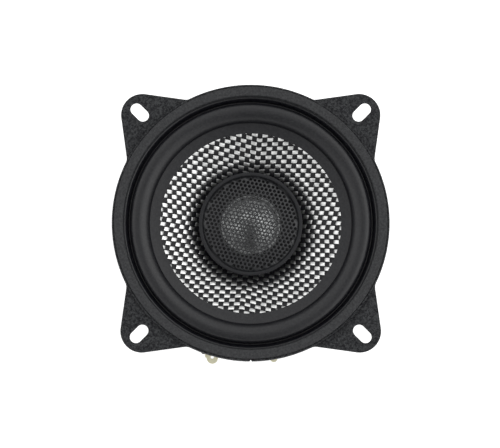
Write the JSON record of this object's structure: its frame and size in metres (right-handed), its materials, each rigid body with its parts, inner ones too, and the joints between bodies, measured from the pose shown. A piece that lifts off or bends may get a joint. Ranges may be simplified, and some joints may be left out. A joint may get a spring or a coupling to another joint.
{
  "type": "coaxial car speaker",
  "caption": "Coaxial car loudspeaker: four-eared steel chassis, woven cone on a rubber roll, domed tweeter under a perforated grille, ring magnet motor.",
  "frame": {"origin": "on the speaker's axis, in the plane of the ears' rear faces, where the flange meets a panel", "axes": "+Z is the way the sound leaves; the four slotted ears lie on X and Y; the terminals point midway between the +X and the -Y ear"},
  "size_m": [0.129, 0.129, 0.0482],
  "materials": {
    "chassis_black": "fine textured powder coat",
    "gasket_foam": "matte",
    "surround_rubber": "satin",
    "woven_cone": "woven glass fibre in resin",
    "spider_cloth": "resin stiffened cloth",
    "coil_former_film": "satin",
    "coil_wire": "enamelled",
    "black_adhesive": "gloss",
    "tinsel": "braided",
    "plated_steel": "zinc plated",
    "ferrite": "ground, unpainted",
    "rivet_steel": "plated",
    "board_fibre": "pressed fibre",
    "gold_plate": "gold plated",
    "capacitor_sleeve": "shrunk sleeve",
    "tinned_wire": "tinned",
    "hot_glue": "cloudy",
    "heat_shrink": "satin",
    "wire_insulation": "satin",
    "moulded_black": "satin",
    "bezel_satin": "satin",
    "grille_black": "fine powder coat",
    "neodymium": "nickel plated",
    "felt": "felted",
    "dome_metal": "satin",
    "dome_film": "metallised"
  },
  "bodies": {
    "frame": {"basket": "chassis_black", "gasket_ring": "gasket_foam", "top_plate": "plated_steel", "ring_magnet": "ferrite", "yoke": "plated_steel", "basket_rivets": "rivet_steel", "terminal_board": "board_fibre", "terminal_positive": "gold_plate", "terminal_negative": "gold_plate", "terminal_rivets": "gold_plate", "board_rivets": "rivet_steel", "capacitor": "capacitor_sleeve", "capacitor_leads": "tinned_wire", "capacitor_glue": "hot_glue", "splice_sleeve": "heat_shrink", "tweeter_wires": "wire_insulation", "tweeter_pedestal": "moulded_black", "tweeter_post": "plated_steel", "post_washer": "rivet_steel", "post_nut": "rivet_steel", "tweeter_housing": "moulded_black", "tweeter_bezel": "bezel_satin", "tweeter_grille": "grille_black", "tweeter_retainer": "moulded_black", "tweeter_yoke_cup": "plated_steel", "tweeter_magnet": "neodymium", "tweeter_pole_plate": "plated_steel", "tweeter_felt": "felt"},
    "cone_assembly": {"surround": "surround_rubber", "cone": "woven_cone", "spider": "spider_cloth", "coil_former": "coil_former_film", "coil_winding": "coil_wire", "neck_fillet": "black_adhesive", "lead_anchors": "black_adhesive", "tinsel_leads": "tinsel"},
    "tweeter_diaphragm": {"tweeter_dome": "dome_metal", "tweeter_suspension": "dome_film", "tweeter_coil_former": "coil_former_film", "tweeter_coil_winding": "coil_wire"}
  },
  "joints": [
    {"name": "cone_travel", "type": "slide", "parent": "frame", "child": "cone_assembly", "axis": [0, 0, 1], "range_m": [-0.0025, 0.0025], "stiffness_N_per_m": 1970, "deforming": ["surround", "spider", "tinsel_leads"]},
    {"name": "tweeter_travel", "type": "slide", "parent": "frame", "child": "tweeter_diaphragm", "axis": [0, 0, 1], "range_m": [-0.0003, 0.0003], "stiffness_N_per_m": 100, "deforming": ["tweeter_suspension"]}
  ]
}
